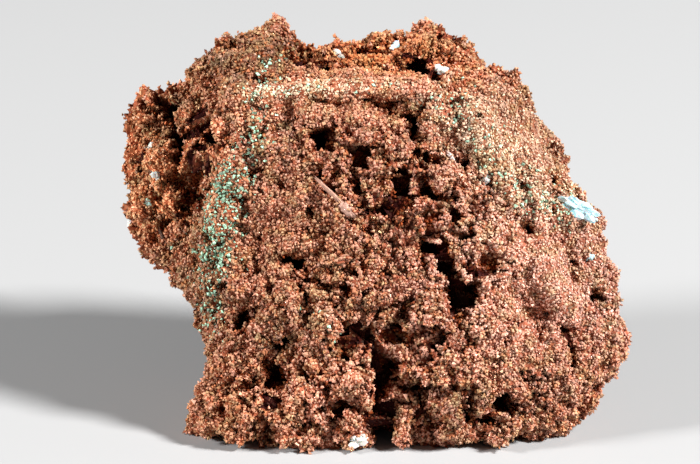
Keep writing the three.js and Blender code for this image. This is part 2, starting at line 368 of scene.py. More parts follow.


# The copper's colour in each part, partly its own and partly painted light and shade: name, centre,
# reach, colour, strength.
TONES = (
    ("right face", (10, 15), (6, 9), (0.84, 0.53, 0.42), 0.9),
    ("right slope", (18, 14), (4, 6), (0.68, 0.44, 0.37), 0.8),
    ("upper right slope", (12.5, 26), (5, 4.5), (0.46, 0.265, 0.175), 0.9),
    ("crown", (0, 32.4), (9, 2.4), (0.72, 0.28, 0.11), 0.95),
    ("upper left lobes", (-13, 31), (5, 4), (0.74, 0.37, 0.23), 0.8),
    ("crown's left lobe", (-9.5, 32.0), (4.0, 2.8), (0.22, 0.105, 0.065), 1.0),
    # painted light: the left shoulder is painted bright where the lamps leave it dark
    ("left shoulder", (-17.5, 23), (5.2, 7), (0.97, 0.47, 0.24), 1.0),
    ("left edge of the face", (-13, 14), (2.5, 5), (0.26, 0.145, 0.085), 0.85),
    ("lower left", (-10, 4), (5, 4), (0.62, 0.28, 0.13), 0.7),
    ("under the top ridge", (-3, 27.8), (6.5, 1.5), (0.66, 0.36, 0.24), 0.8),
    # painted light: the toe is painted bright where the lamps leave it dark
    ("toe", (-2, 5), (8, 4), (0.95, 0.51, 0.37), 0.85),
    ("right of the top ridge", (9, 26), (4.5, 3.2), (0.56, 0.36, 0.265), 0.9),
    ("lower right", (10, 4.5), (8, 3.5), (0.52, 0.27, 0.17), 0.5),
    ("middle of the face", (-5, 15), (5, 7), (0.60, 0.34, 0.21), 0.5),
    ("beside the right brow", (8, 26), (1.5, 2.2), (0.76, 0.60, 0.45), 0.6),
    ("along the right brow", (10.3, 23), (1.7, 2.2), (0.76, 0.60, 0.45), 0.6),
    ("below the right brow", (13.2, 20.6), (2.6, 1.3), (0.76, 0.62, 0.48), 0.6),
)

# Dark grey-brown patches of tarnish: centre and reach.
TARNISH = (
    ((-17, 26), (1.8, 1.2)), ((-13, 31.6), (1.8, 1.0)), ((-6.8, 33), (1.4, 1.1)),
    ((-8, 9.2), (1.6, 1.2)), ((7, 4.6), (1.8, 1.2)), ((-9.5, 24), (1.2, 1.6)),
    ((-15.5, 28.6), (1.6, 1.0)), ((3.2, 28), (1.0, 0.6)), ((-7, 26.2), (0.9, 0.8)),
    ((-6.8, 23.8), (0.9, 0.8)), ((-10.9, 30), (1.2, 0.8)),
)

# Where malachite specks gather: route, width, share of the crystals that are green.
GREEN_BANDS = (
    (((-9.0, 26.8), (-10.0, 24.2), (-11.2, 22.0), (-12.2, 19.4), (-12.6, 15.5), (-12.8, 10.5)),
     0.9, 0.36),
    (((-11.0, 22.2), (-12.2, 18.5), (-12.4, 15.5)), 1.3, 0.68),
    (((6.4, 27.6), (9.4, 24.4), (12.0, 20.8), (15.0, 19.6)), 1.4, 0.18),
    (((12.5, 20.4), (15.6, 19.6)), 1.2, 0.42),
    (((-10.0, 28.8), (-6.0, 29.2)), 0.5, 0.35),
    (((-6.0, 29.2), (1.0, 29.6)), 0.45, 0.15),
    (((-9.0, 29.2), (-8.0, 31.4)), 0.7, 0.25),
    (((-5.0, 11.0), (-3.2, 10.4)), 0.8, 0.15),
)

# Where pale cream flecks gather: route, width, share.
PALE_BANDS = (
    (((-10.2, 28.7), (-6.5, 29.0), (-2.0, 29.3)), 0.6, 0.9),
    (((-2.0, 29.3), (2.0, 29.5)), 0.5, 0.6),
    (((6.0, 27.8), (9.8, 25.0), (13.2, 21.4), (15.6, 20.0)), 2.2, 0.34),
    (((10.0, 30.0), (13.5, 26.0), (16.0, 22.0)), 2.0, 0.2),
)

# Where the copper is most open, with voids between its clusters: centre, reach, strength.
VOIDS = (
    ((3.5, 20), (4.5, 7), 1.0), ((3.5, 10), (5, 7), 1.0), ((-2, 24), (4, 3.5), 0.8),
    ((-5.5, 14), (4, 3.5), 0.8), ((8, 12), (3.5, 5), 0.85), ((0, 5), (9, 4), 0.8),
    ((-17, 24), (3.5, 4.5), 0.35), ((10, 4), (6, 3.5), 0.75), ((-9, 4), (4, 4), 0.7),
    ((3.8, 31), (2.5, 2.0), 0.9),
)

# Where the crust is low and even: centre, reach, strength.
CALM = (
    ((12.5, 25), (4.5, 4.0), 1.0), ((17, 17), (3.5, 5), 0.7), ((-8, 18), (3.5, 6), 0.5),
    ((13.5, 14), (4.5, 7), 0.85), ((-1, 30.2), (8, 0.8), 0.6), ((9, 26), (4.5, 3.5), 1.0),
    ((-3, 27.6), (6, 1.5), 0.8),
)

# The calm crest: route, width, strength.
CALM_BANDS = (
    (((-10.4, 28.6), (-4.2, 29.0), (4.6, 29.2)), 0.7, 1.0),
)


def band_share(bands, across, up, out):
    """The largest of the bands' shares at each place on the front."""
    total = np.zeros(across.shape)
    for route, width, share in bands:
        total = np.maximum(total, share * band(across, up, route, width))
    return total * (out > -3)


def open_share(across, up, out):
    """How open the copper is, from 0 on dense ground to 1 among the voids."""
    front = 1 / (1 + np.exp(-(out + 1)))
    share = np.full(across.shape, 0.18)
    for centre, reach, strength in VOIDS:
        share = np.maximum(share, strength * blob(across, up, centre, reach))
    return np.where(front > 0.5, share, 0.45)


def calm_share(across, up, out):
    """How low and even the crust is, from 0 to 1."""
    share = band_share(CALM_BANDS, across, up, out)
    for centre, reach, strength in CALM:
        share = np.maximum(share, strength * blob(across, up, centre, reach) * (out > -4))
    return share


# ---- the copper mass ----

def cell_dome(place, size):
    """Rounded clusters with a cleft round each, from 0 in a cleft to 1 on a cluster's top."""
    nearest, second = noise.voronoi(place / size)[0][:2]
    cleft = min(1.0, (second - nearest) / 0.45)
    return (1 - 0.55 * min(1.0, nearest) ** 2) * math.sqrt(cleft)


def step(low, high, value):
    """A smooth step from 0 at low to 1 at high."""
    share = min(1.0, max(0.0, (value - low) / (high - low)))
    return share * share * (3 - 2 * share)


NOISE_SEED = 21  # without a seed of its own, the noise would change on every run
VOID_SIZE_MM = 2.1  # spacing of the irregular voids between the clusters
VOID_DEPTH_MM = 3.2
PIT_SIZE_MM = 1.05  # spacing of the upright pits
PIT_DEPTH_MM = 2.2
PORE_SIZE_MM = 0.75  # spacing of the small pores
PORE_DEPTH_MM = 0.9
# A hollow's edge in the noise on dense ground, how much lower the edge is on open ground, and
# the way from the edge to the hollow's full depth.
VOID_EDGE = (0.60, 0.60, 0.16)
PIT_EDGE = (0.62, 0.36, 0.16)
PORE_EDGE = (0.46, 0.26, 0.20)
CALM_RISE = 0.3  # how much higher the edges are on calm ground
SWELL_MM = 0.45  # makes up for what the clusters' creases take away
WARPS = ((0.5, 1.2), (1.7, 0.4))  # bends the clusters: waves in a mm, reach in mm
SWAYS = ((0.8, 0.5), (2.0, 0.2))  # bends the finished skin, in the same terms
SMALL_CLUSTER = 0.52  # size of a small cluster beside a large one
BROAD_BEAT = 0.22  # waves in a mm of the mass's broad swelling
DARK_SKY = 0.15  # the share of open sky below which no hollow grows any deeper
SKY_SPAN = 0.3  # and how much more sky it takes to grow to its full depth
SEAT_REACH = 1.6 * MM  # the ground round a mineral grain is kept free of voids

# Ridges that stand out of the plain form and valleys that lie in it: route, width, height.
RELIEF = (
    ("crest", ((-10.4, 28.5), (-4.2, 28.9), (2.4, 29.1), (7.4, 27.8)), 0.6, 0.35),
    ("groove under the crest", ((-9.8, 27.3), (-4.2, 27.7), (1.6, 27.9)), 0.5, -0.15),
    ("left brow", ((-10.4, 28.6), (-10.8, 24.5), (-11.6, 19.0), (-12.0, 13.5)), 1.1, 1.1),
    ("right brow", ((7.4, 27.8), (10.0, 24.6), (12.6, 20.6), (15.6, 19.4)), 1.2, 0.6),
    ("left shoulder", ((-18.0, 27.0), (-19.2, 20.0)), 2.2, 0.9),
    ("left valley", ((-14.6, 28.4), (-14.0, 25.0), (-14.8, 21.5), (-15.2, 17.5)), 1.2, -0.9),
    ("shoulder hole", ((-15.6, 24.7), (-14.3, 24.0)), 0.55, -1.7),
    ("inner shoulder hole", ((-12.9, 25.2), (-12.2, 24.7)), 0.4, -1.6),
    ("crown valley", ((-6.6, 31.6), (-4.0, 31.6), (2.0, 31.2), (5.0, 30.4)), 0.8, -0.9),
    ("chasm", ((2.6, 12.8), (0.8, 9.8), (0.7, 5.4), (0.9, 0.6)), 0.7, -3.4),
    ("right chasm", ((5.2, 16.4), (6.2, 14.0), (6.7, 11.4)), 0.55, -3.0),
    ("upper hole", ((2.9, 26.8), (3.3, 25.4)), 0.4, -2.0),
    ("middle hole", ((4.0, 23.8), (4.5, 22.2)), 0.45, -2.0),
    ("lower hole", ((4.4, 20.7), (5.6, 20.4)), 0.45, -2.0),
    ("left hole", ((-4.2, 25.4), (-4.0, 24.6)), 0.45, -2.0),
    ("low left hole", ((-6.6, 15.6), (-5.8, 15.4)), 0.5, -1.8),
    ("cross channel", ((2.0, 17.2), (4.6, 16.4), (5.2, 16.4)), 0.5, -2.0),
    ("lower left valley", ((-9.0, 1.5), (-7.6, 6.0)), 0.8, -1.0),
)

# The crest along the top of the face: places across, up and out on the lean plane.
CREST = ((-10.4, 28.4, 4.7), (-6.0, 28.75, 5.9), (-1.0, 29.0, 6.3), (4.6, 29.0, 6.0))
CREST_RADIUS_MM = 0.32


def add_crest(bm):
    """Rounded bars that join into the crest."""
    places = [on_lean(*spot) for spot in CREST]
    radius = CREST_RADIUS_MM * MM
    for start, end in zip(places, places[1:]):
        turn = (end - start).to_track_quat("Z", "X").to_matrix().to_4x4()
        bmesh.ops.create_cone(
            bm, cap_ends=True, segments=12, radius1=radius, radius2=radius,
            depth=(end - start).length, matrix=Matrix.Translation((start + end) / 2) @ turn)
    for place in places:
        bmesh.ops.create_icosphere(
            bm, subdivisions=2, radius=radius, matrix=Matrix.Translation(place))


def bend(start, at, waves):
    """Start, shifted by the noise found at a place."""
    return sum((noise.noise_vector(at * beat) * reach for beat, reach in waves), start)


def hollow(value, edge, openness, calm):
    """0 outside a hollow, rising to 1 where it is deepest."""
    dense, opening, rise = edge
    start = dense - opening * openness + CALM_RISE * calm
    return step(start, start + rise, value)


def hollow_depth(bent, openness, calm):
    """How deep a void, pit or pore reaches at a place."""
    tall = Vector((bent.x, bent.y, bent.z * 0.78))
    narrow = Vector((bent.x, bent.y, bent.z * 0.5))
    ragged = 0.5 * noise.noise(bent / PORE_SIZE_MM)
    void = noise.noise(tall / VOID_SIZE_MM) + ragged
    pit = noise.noise(narrow / PIT_SIZE_MM + Vector((11, 23, 5)))
    pore = noise.noise(bent / PORE_SIZE_MM + Vector((30, 7, 2)))
    return max(
        VOID_DEPTH_MM * hollow(void, VOID_EDGE, openness, calm),
        PIT_DEPTH_MM * hollow(pit, PIT_EDGE, openness, calm),
        PORE_DEPTH_MM * hollow(pore, PORE_EDGE, openness, calm),
    )


def seat_shares(places):
    """1 at the middle of each mineral grain, fading to nothing round it."""
    seats = np.zeros(len(places))
    for node in GRAIN_NODES:
        low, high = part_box(node)
        gap = np.linalg.norm(places - (np.array(low) + np.array(high)) / 2, axis=1)
        seats = np.maximum(seats, np.exp(-(gap / SEAT_REACH) ** 2))
    return seats


def roughened(mesh, settings):
    """Push the skin out into clusters and in at the voids."""
    noise.seed_set(NOISE_SEED)
    places = places_of(mesh)
    across, up, out = lean_places(places)
    openness = open_share(across, up, out)
    calm = calm_share(across, up, out)
    form = np.full(len(places), SWELL_MM)
    for _, route, width, height in RELIEF:
        form += height * band(across, up, route, width) * (out > -5)
    cluster = settings.cluster / MM
    height = settings.cluster_height / MM
    bare = np.clip((sky_seen(mesh) - DARK_SKY) / SKY_SPAN, 0, 1)
    seats = seat_shares(places)
    push = np.empty(len(places))
    for i, place in enumerate(places):
        at = Vector(place / MM)
        bent = bend(at, at, WARPS)
        dome = cell_dome(bent, cluster)
        small = cell_dome(bent + Vector((5, 3, 8)), cluster * SMALL_CLUSTER)
        broad = noise.noise(at * BROAD_BEAT)
        push[i] = (
            height * (dome - 0.7) * (0.8 + 0.5 * openness[i] - 0.65 * calm[i])
            + (0.25 + 0.25 * openness[i] - 0.15 * calm[i]) * height * (small - 0.7)
            + (0.7 - 0.5 * calm[i]) * broad
            - hollow_depth(bent, openness[i], calm[i]) * bare[i] * (1 - seats[i])
        )
    places += normals_of(mesh) * ((push + form) * MM)[:, None]
    for i, place in enumerate(places):
        sway = bend(Vector(), Vector(place / MM), SWAYS)
        places[i] += np.array(sway) * (1 - 0.7 * calm[i]) * MM
    places[:, 2] = np.maximum(places[:, 2], CAD_BOX[0].z)
    put_places(mesh, places)


SKY_RAYS = 18  # rays that each point sends out to see how open it is
SKY_REACH = 5 * MM  # how far they look
SKY_LIFT = 0.06 * MM  # how far above the skin they start


def sky_directions():
    """Directions over a half sphere round +Z, spread by a sunflower spiral."""
    golden = math.pi * (3 - math.sqrt(5))
    found = []
    for i in range(SKY_RAYS):
        height = math.sqrt((i + 0.5) / SKY_RAYS)
        radius = math.sqrt(1 - height * height)
        found.append(Vector((radius * math.cos(i * golden), radius * math.sin(i * golden), height)))
    return found


def sky_seen(mesh):
    """For each vertex, the share of the sky over it that the nugget itself leaves open."""
    tree = tree_of(mesh)
    rays = sky_directions()
    seen = np.empty(len(mesh.vertices))
    for i, (place, normal) in enumerate(zip(places_of(mesh), normals_of(mesh))):
        outward = Vector(normal)
        turn = outward.to_track_quat("Z", "X")
        start = Vector(place) + outward * SKY_LIFT
        clear = 0
        for ray in rays:
            if tree.ray_cast(start, turn @ ray, SKY_REACH)[0] is None:
                clear += 1
        seen[i] = clear / SKY_RAYS
    return seen


LEAST_SKY = 0.17  # with this share of open sky the copper is painted in full shade
LIGHT_SPAN = 0.46  # and with this much more it keeps its own colour, without painted shade
INNER_LIGHT = 0.5  # below this share of light the painted half shade darkens to painted black shade
PATINA = (0.10, 0.075, 0.055)
PATINA_STRENGTH = 0.75
OLIVE = (0.42, 0.28, 0.13)


def copper_tones(mesh, seen, settings):
    """The copper's colour at each vertex, with painted shade in the hollows and creases."""
    places = places_of(mesh)
    across, up, out = lean_places(places)
    copper = np.tile(np.array(settings.copper), (len(places), 1))
    wander = np.array([noise.noise(Vector(p / MM) * 0.35) for p in places])
    fine = np.array([noise.noise(Vector(p / MM) * 1.3 + Vector((9, 4, 2))) for p in places])
    for _, centre, reach, tone, strength in TONES:
        share = strength * blob(across + 2.5 * wander, up - 2.5 * wander, centre, reach)
        share = np.clip(share + 0.25 * share * fine, 0, 1)[:, None]
        copper = copper * (1 - share) + np.array(tone) * share
    patina = np.zeros(len(places))
    for centre, reach in TARNISH:
        patina = np.maximum(patina, blob(across, up, centre, reach))
    patina = np.clip(patina * (0.9 + 1.2 * fine), 0, 1)
    back = np.clip(-out / 8, 0, 1)
    patina = np.maximum(patina, np.clip(back * (0.35 + 1.4 * wander), 0, 0.7))
    stain_and_shade = PATINA_STRENGTH * patina[:, None]
    copper = copper * (1 - stain_and_shade) + stain_and_shade * np.array(PATINA)
    olive = np.clip(fine * 1.8, 0, 0.6)[:, None]
    copper = copper * (1 - olive) + olive * np.array(OLIVE)
    # painted shade: where little sky is open the copper is painted near black, with red-brown half
    # shade between that and its own colour
    light = np.clip((seen - LEAST_SKY) / LIGHT_SPAN, 0, 1)[:, None]
    inner = np.clip(light / INNER_LIGHT, 0, 1)
    outer = np.clip((light - INNER_LIGHT) / (1 - INNER_LIGHT), 0, 1)
    crease_half_shade = np.array(settings.crease_half_shade)
    shaded = np.array(settings.hollow) * (1 - inner) + crease_half_shade * inner
    return shaded * (1 - outer) + copper * outer


REGIONS = ("face", "toe", "crown", "left_flank", "right_flank", "back")
# Where the regions part, in millimetres across, up and out.
TOE_TOP = 12
CROWN_FOOT = 25.5
FLANK_TOP = 28
LEFT_FLANK_EDGE = -9.5
RIGHT_FLANK_EDGE = 9
BACK_EDGE = -3.5


def regions_of(mesh):
    """Which of the REGIONS each face of the skin lies in."""
    count = len(mesh.polygons)
    centres = np.empty(count * 3)
    mesh.polygons.foreach_get("center", centres)
    normals = np.empty(count * 3, np.float32)
    mesh.polygon_normals.foreach_get("vector", normals)
    across, up, out = lean_places(centres.reshape(-1, 3))
    region = np.zeros(count, np.int32)
    low = up <= FLANK_TOP
    region[up < TOE_TOP] = REGIONS.index("toe")
    region[up > CROWN_FOOT] = REGIONS.index("crown")
    region[(across < LEFT_FLANK_EDGE) & low] = REGIONS.index("left_flank")
    region[(across > RIGHT_FLANK_EDGE) & low] = REGIONS.index("right_flank")
    region[out < BACK_EDGE] = REGIONS.index("back")
    return region


# ---- materials ----

# How fine the patterns are, as noise cells in a metre.
MOTTLE_PER_M = 3200
TARNISH_PER_M = 900
GRAIN_PER_M = 9000
FLAWS_PER_M = 1500


def plain_material(name):
    """A material without nodes, and the wiring of its tree."""
    material = bpy.data.materials.new(name)
    material.use_nodes = True
    material.node_tree.nodes.clear()
    return material, Wiring(material.node_tree)


def copper_material(name, stain_and_shade, metallic, low_roughness, high_roughness):
    """Copper coloured by the tint that its mesh holds, with fine tarnish and a fine grain."""
    material, wire = plain_material(name)
    tint = wire.add("ShaderNodeAttribute", attribute_name="tint")
    place = wire.add("ShaderNodeTexCoord").outputs["Object"]
    shade = wire.spread(wire.noise(place, MOTTLE_PER_M, 3, 0.6), 0.3, 0.7, 0.72, 1.22)
    # the tint is multiplied by a colour given with the material: on the mass under the crust this
    # is painted shade between the crystals
    tinted = wire.vector("MULTIPLY", tint.outputs["Color"], stain_and_shade)
    tarnish = wire.noise(place, TARNISH_PER_M, 2)
    bump = wire.add("ShaderNodeBump", {
        "Height": wire.noise(place, GRAIN_PER_M, 2, 0.6), "Strength": 0.35,
        "Distance": 0.03 * MM})
    surface = wire.add("ShaderNodeBsdfPrincipled", {
        "Base Color": wire.scaled(tinted, shade), "Metallic": metallic,
        "Roughness": wire.spread(tarnish, 0.35, 0.65, low_roughness, high_roughness),
        "Normal": bump.outputs["Normal"], "Specular IOR Level": 0.15})
    wire.add("ShaderNodeOutputMaterial", {"Surface": surface.outputs["BSDF"]})
    return material


def mineral_material(name, colour, stain_and_shade):
    """A glassy, slightly milky mineral, stained along its flaws."""
    material, wire = plain_material(name)
    place = wire.add("ShaderNodeTexCoord").outputs["Object"]
    flaws = wire.noise(place, FLAWS_PER_M, 4, 0.65, 0.6)
    share = wire.spread(flaws, 0.42, 0.68)
    bump = wire.add("ShaderNodeBump", {
        "Height": flaws, "Strength": 0.3, "Distance": 0.05 * MM})
    surface = wire.add("ShaderNodeBsdfPrincipled", {
        "Base Color": wire.mixed(share, (*colour, 1), (*stain_and_shade, 1)),
        "Roughness": wire.spread(flaws, 0.3, 0.7, 0.22, 0.5),
        "Normal": bump.outputs["Normal"], "Subsurface Weight": 0.25,
        "Subsurface Scale": 0.3 * MM})
    wire.add("ShaderNodeOutputMaterial", {"Surface": surface.outputs["BSDF"]})
    return material


# ---- crystals ----

# The forms of the copper crystals: kind, seed of its corners, stretch, turn and its axis, and
# whether its edges are worn round.
CRYSTAL_FORMS = (
    ("octahedron", 2, (1, 1, 1), 0, "X", False),
    ("octahedron", 4, (1.25, 0.85, 0.85), 0.7, "X", False),
    ("octahedron", 6, (1, 1, 1), 0, "X", True),
    ("octahedron", 4, (1.25, 0.85, 0.85), 0.7, "X", True),
    ("wedge", 3, (1, 1, 1), 0, "Y", False),
    ("wedge", 5, (1, 1, 1), 1.2, "Y", False),
)
CORNER_STRAY = 0.12  # how far a corner strays, so that no two forms look machined
OWN_MAP = "OFBake"  # each crystal's small place on its piece's own map


def soften(bm):
    """Shade every face of a mesh smooth."""
    for face in bm.faces:
        face.smooth = True


def shape_crystal(bm, kind, seed, stretch, turn, axis, worn):
    """One form of crystal, one unit across."""
    if kind == "wedge":
        bmesh.ops.create_cone(
            bm, cap_ends=True, segments=3, radius1=0.7, radius2=0, depth=0.85)
    else:
        bmesh.ops.create_uvsphere(bm, u_segments=4, v_segments=2, radius=0.64)
    draw = random.Random(seed)
    for vertex in bm.verts:
        vertex.co += Vector([draw.uniform(-CORNER_STRAY, CORNER_STRAY) for _ in range(3)])
    bmesh.ops.scale(bm, verts=bm.verts, vec=stretch)
    bmesh.ops.rotate(bm, verts=bm.verts, matrix=Matrix.Rotation(turn, 3, axis))
    if worn:
        soften(bm)
    bmesh.ops.triangulate(bm, faces=bm.faces)
    bmesh.ops.recalc_face_normals(bm, faces=bm.faces)


def crystal_collection():
    """A small object for each form of crystal, with a map of its own."""
    holder = bpy.data.collections.new("crystal_forms")
    for number, form in enumerate(CRYSTAL_FORMS):
        bm = bmesh.new()
        shape_crystal(bm, *form)
        layer = bm.loops.layers.uv.new(OWN_MAP)
        for face in bm.faces:
            for loop in face.loops:
                co = loop.vert.co
                loop[layer].uv = (0.5 + 0.4 * (co.x + 0.4 * co.z), 0.5 + 0.4 * (co.y - 0.4 * co.z))
        name = f"crystal_form_{number}"
        holder.objects.link(bpy.data.objects.new(name, mesh_of(bm, name)))
    return holder


# Crystals that differ from their neighbours: seed, share of them, colour, strength.
CRYSTAL_HUES = (
    (41, 0.22, (0.52, 0.14, 0.035), 0.5),
    (42, 0.22, (0.48, 0.34, 0.17), 0.4),
    (43, 0.05, (0.10, 0.035, 0.015), 0.7),
    # painted highlights: a few pale pink crystals at random
    (44, 0.06, (0.80, 0.50, 0.40), 0.4),
)
GREEN_STRENGTH = 0.92
PALE_STRENGTH = 0.6
MAP_CELLS = 170  # crystals along each side of a crust's own map
CROWD = 2.6  # points tried in each square of the least spacing
CRYSTAL_LEAN = math.radians(48)
REST_LIFT = 0.02 * MM  # the crystals' corners stay this far above the floor
LEAST_SIZE = 0.68  # the smallest crystal, as a share of the middle size
SIZE_RANGE = 0.75  # and how much larger the largest is


def crystal_seats(wire, mass, region, spacing, crystal):
    """Points on one region of the skin, where crystals grow."""
    shape = wire.add("GeometryNodeObjectInfo", {"Object": mass}).outputs["Geometry"]
    here = wire.add("FunctionNodeCompare", {
        2: wire.named("region", "INT"), 3: region}, data_type="INT", operation="EQUAL")
    height = wire.add("ShaderNodeSeparateXYZ", {
        0: wire.add("GeometryNodeInputPosition").outputs[0]}).outputs["Z"]
    clear = wire.add("FunctionNodeCompare", {
        0: height, 1: CAD_BOX[0].z + 0.7 * crystal},
        data_type="FLOAT", operation="GREATER_THAN")
    wanted = wire.add("FunctionNodeBooleanMath", {
        0: here.outputs[0], 1: clear.outputs[0]}, operation="AND")
    seats = wire.add("GeometryNodeDistributePointsOnFaces", {
        "Mesh": shape, "Selection": wanted.outputs[0], "Distance Min": spacing,
        "Density Max": CROWD / spacing ** 2, "Seed": 11 + region,
        "Density Factor": wire.named("crowding", "FLOAT")}, distribute_method="POISSON")
    return seats.outputs["Points"]


def crystal_tint(wire, stand, settings):
    """Each crystal's colour: the skin's tint with its painted shade, with odd, green and pale ones
    among them, darkened by painted shade where little sky is open.
    """
    shade = wire.random("FLOAT", 0.85, 1.15, 21)
    light = wire.named("light", "FLOAT")
    # painted shade: each crystal's random shade times the painted light share
    lit_shade = wire.maths("MULTIPLY", shade, light)
    tint = wire.scaled(wire.named("tint", "FLOAT_COLOR"), shade)
    for seed, share, colour, strength in CRYSTAL_HUES:
        chosen = wire.maths("LESS_THAN", wire.chance(seed), share)
        weight = wire.maths("MULTIPLY", wire.maths("MULTIPLY", chosen, strength), stand)
        tint = wire.mixed(weight, tint, wire.scaled(colour, lit_shade))
    # painted shade on the green specks: a random shade times the painted light share
    green_light = wire.maths("MULTIPLY", wire.random("FLOAT", 0.5, 1.5, 29), light)
    for seed, name, colour, strength, brightness in (
        (22, "green", settings.malachite, GREEN_STRENGTH, green_light),
        (23, "pale", settings.cream, PALE_STRENGTH, lit_shade),
    ):
        chosen = wire.maths("LESS_THAN", wire.chance(seed), wire.named(name, "FLOAT"))
        weight = wire.maths("MULTIPLY", chosen, strength)
        tint = wire.mixed(weight, tint, wire.scaled(tuple(colour), brightness))
    return tint


def crystal_turn(wire, stand):
    """Each crystal's turn: upright on the skin, then leaning over by chance."""
    lean = CRYSTAL_LEAN
    draw = wire.random("FLOAT_VECTOR", (-lean, -lean, -math.pi), (lean, lean, math.pi), 28)
    leaning = wire.vector("MULTIPLY", draw, wire.xyz(stand, stand, 1.0))
    tilt = wire.add("FunctionNodeEulerToRotation", {0: leaning}).outputs[0]
    upright = wire.add("FunctionNodeAlignRotationToVector", {
        "Vector": wire.named("outward", "FLOAT_VECTOR")}, axis="Z").outputs[0]
    return wire.add("FunctionNodeRotateRotation", {
        "Rotation": upright, "Rotate By": tilt}, rotation_space="LOCAL").outputs[0]


def stored(wire, geometry, name, value, kind, domain):
    """The geometry with a value stored on it by name."""
    return wire.add("GeometryNodeStoreNamedAttribute", {
        "Geometry": geometry, "Name": name, "Value": value},
        data_type=kind, domain=domain).outputs[0]


def crust_tree(mass, forms, region, spacing, settings):
    """Geometry Nodes that scatter crystals over one region of the skin and realize them."""
    tree = bpy.data.node_groups.new(f"crust_{REGIONS[region]}", "GeometryNodeTree")
    tree.interface.new_socket("Geometry", in_out="OUTPUT", socket_type="NodeSocketGeometry")
    wire = Wiring(tree)
    crystal = settings.crystal
    stand = wire.named("stand", "FLOAT")
    seats = crystal_seats(wire, mass, region, spacing, crystal)
    tint = crystal_tint(wire, stand, settings)
    seats = stored(wire, seats, "tint", tint, "FLOAT_COLOR", "POINT")

    index = wire.add("GeometryNodeInputIndex").outputs[0]
    column = wire.maths("MODULO", index, MAP_CELLS)
    line = wire.maths("FLOOR", wire.maths("DIVIDE", index, MAP_CELLS), 0)
    row = wire.maths("MODULO", line, MAP_CELLS)
    seats = stored(wire, seats, "cell", wire.xyz(column, row), "FLOAT_VECTOR", "POINT")

    draw = wire.chance(25)
    size = wire.maths(
        "MULTIPLY",
        wire.maths("ADD", LEAST_SIZE, wire.maths("MULTIPLY", draw, SIZE_RANGE)), crystal)
    reach = wire.maths("POWER", wire.chance(24), 1.6)
    proud = wire.maths("MULTIPLY", wire.maths("SUBTRACT", reach, 0.15), stand)
    lift = wire.scaled(
        wire.named("outward", "FLOAT_VECTOR"), wire.maths("MULTIPLY", proud, 0.85 * crystal))
    raised = wire.add("GeometryNodeSetPosition", {"Geometry": seats, "Offset": lift})
    height = wire.maths("ADD", 0.4, wire.maths(
        "MULTIPLY", stand, wire.maths("ADD", 0.5, wire.maths("MULTIPLY", reach, 0.4))))
    crystals = wire.add("GeometryNodeCollectionInfo", {
        "Collection": forms, "Separate Children": True, "Reset Children": True})
    scattered = wire.add("GeometryNodeInstanceOnPoints", {
        "Points": raised.outputs[0], "Instance": crystals.outputs[0], "Pick Instance": True,
        "Instance Index": wire.random("INT", 0, len(CRYSTAL_FORMS) - 1, 27),
        "Rotation": crystal_turn(wire, stand),
        "Scale": wire.scaled(wire.xyz(1.0, 0.9, height), size)})
    real = wire.add("GeometryNodeRealizeInstances", {0: scattered.outputs[0]})

    spot = wire.add("GeometryNodeInputPosition").outputs[0]
    resting = wire.vector("MAXIMUM", spot, (-1, -1, CAD_BOX[0].z + REST_LIFT))
    settled = wire.add("GeometryNodeSetPosition", {
        "Geometry": real.outputs[0], "Position": resting})
    own = wire.vector(
        "ADD", wire.named("cell", "FLOAT_VECTOR"), wire.named(OWN_MAP, "FLOAT_VECTOR"))
    mapped = stored(
        wire, settled.outputs[0], OWN_MAP, wire.scaled(own, 1 / MAP_CELLS), "FLOAT2", "CORNER")
    cleared = wire.add("GeometryNodeRemoveAttribute", {"Geometry": mapped, "Name": "cell"})
    wire.add("NodeGroupOutput", {0: cleared.outputs[0]})
    return tree


# ---- where the mineral grains sit ----

# The colour of each mineral along its flaws.
MINERAL_STAINS = {
    "white": (0.66, 0.60, 0.52), "blue_white": (0.76, 0.74, 0.72),
    "pale_green": (0.70, 0.74, 0.62),
}
# The look of each grain that is not white.
GRAIN_LOOKS = {
    "grain_right_shoulder": "blue_white", "grain_crown_edge": "blue_white",
    "grain_right_flank": "blue_white", "grain_left_flank": "pale_green",
}
BIG_GRAIN = 1 * MM  # a grain that reaches farther than this has many crystals
GRAIN_CRYSTALS = (10, 40)  # how many a small and a big grain have

# A grain that is a patch of many crystals: its middle on the lean plane, its slope and its
# half length, half width and half thickness in millimetres.
PATCHES = {
    "grain_right_shoulder": ((16.6, 19.6), math.radians(-30), (1.9, 0.8, 0.6)),
    "grain_crown_edge": ((2.0, 33.0), math.radians(70), (0.8, 0.6, 0.5)),
    "grain_left_edge": ((-20.5, 18.6), math.radians(80), (0.85, 0.45, 0.4)),
    "grain_left_shoulder_lower": ((-17.5, 22.6), math.radians(90), (0.7, 0.55, 0.45)),
    "grain_left_flank": ((-18.4, 20.3), math.radians(-10), (0.65, 0.4, 0.35)),
}
GRAIN_SEARCH = 12 * MM  # how far in front of a grain the search for the crust starts
GRAIN_LIFT = 0.8  # how far its middle stands out of the copper, as a share of its reach
GRAIN_SHIFT = 2.5 * MM  # the farthest that a grain is moved to show at the crust
GRAIN_SPREAD = 1.35  # how much wider a grain's crystals reach than the grain in the solid
GRAIN_GROUND = 0.6  # no copper crystals grow this near a grain, as a squared share of it


def grain_axes(tree, node):
    """The middle of a mineral grain where it shows at the crust, and its three half axes."""
    if node in PATCHES:
        return patch_axes(tree, *PATCHES[node])
    low, high = (Vector(corner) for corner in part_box(node))
    middle = (low + high) / 2
    hit = tree.ray_cast(middle + OUT_LEAN * GRAIN_SEARCH, -OUT_LEAN, 2 * GRAIN_SEARCH)[0]
    place = middle if hit is None or (hit - middle).length > GRAIN_SHIFT else hit
    reach = (high - low) / 2
    axes = [Vector((reach.x, 0, 0)), Vector((0, reach.y, 0)), Vector((0, 0, reach.z))]
    return place + OUT_LEAN * GRAIN_LIFT * min(reach), [GRAIN_SPREAD * axis for axis in axes]


